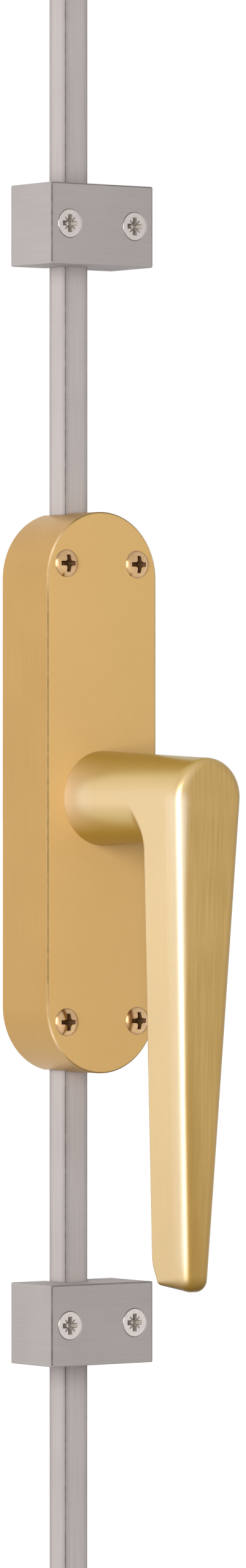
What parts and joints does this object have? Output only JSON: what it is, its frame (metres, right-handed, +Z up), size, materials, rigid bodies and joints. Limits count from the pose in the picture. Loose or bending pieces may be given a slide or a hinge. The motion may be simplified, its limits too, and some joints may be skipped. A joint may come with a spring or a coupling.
{
  "type": "cremone bolt",
  "caption": "Surface cremone bolt: a hanging lever on a round-ended case turns a pinion that slides an upper and a lower square rod through guide blocks.",
  "frame": {"origin": "middle of the case's back, on the door's face", "axes": "+Y into the door, so the bolt faces -Y; +Z up along the rods; +X to the right seen from the front"},
  "size_m": [0.0388, 0.0833, 0.482],
  "materials": {
    "satin_brass": "satin, finely lapped",
    "brushed_brass": "brushed along the blade",
    "bright_brass": "polished rim with a dark recess",
    "brushed_nickel_rod": "brushed along the rod",
    "brushed_nickel_block": "finely brushed",
    "bright_nickel": "bright nickel plate",
    "plain_steel": "machined",
    "zinc_steel": "zinc plated",
    "spring_steel": "oil tempered",
    "black_steel": "black oxide",
    "bronze": "sintered",
    "nylon": "natural"
  },
  "bodies": {
    "case": {"case_cover": "satin_brass", "back_plate": "zinc_steel", "back_plate_screws": "zinc_steel", "case_screws": "bright_brass", "front_bush": "bronze", "rear_bush": "bronze", "hub_washer": "nylon", "upper_guide": "brushed_nickel_block", "lower_guide": "brushed_nickel_block", "upper_guide_screws": "bright_nickel", "lower_guide_screws": "bright_nickel"},
    "lever": {"lever": "brushed_brass", "lever_grub_screw": "black_steel", "spindle": "plain_steel", "pinion": "plain_steel", "wave_washer": "spring_steel", "retaining_ring": "spring_steel"},
    "upper_rod": {"upper_rod": "brushed_nickel_rod", "upper_rack": "plain_steel", "upper_rack_screws": "zinc_steel"},
    "lower_rod": {"lower_rod": "brushed_nickel_rod", "lower_rack": "plain_steel", "lower_rack_screws": "zinc_steel"}
  },
  "joints": [
    {"name": "lever_turn", "type": "hinge", "parent": "case", "child": "lever", "pos_m": [0, 0, -0.0016], "axis": [0, -1, 0], "range_deg": [0, 90]},
    {"name": "upper_rod_slide", "type": "slide", "parent": "case", "child": "upper_rod", "axis": [0, 0, -1], "range_m": [0, 0.01728]},
    {"name": "lower_rod_slide", "type": "slide", "parent": "case", "child": "lower_rod", "axis": [0, 0, 1], "range_m": [0, 0.01728]}
  ],
  "couplings": [
    {"joint": "upper_rod_slide", "follows": "lever_turn", "m_per_rad": 0.011},
    {"joint": "lower_rod_slide", "follows": "lever_turn", "m_per_rad": 0.011}
  ]
}
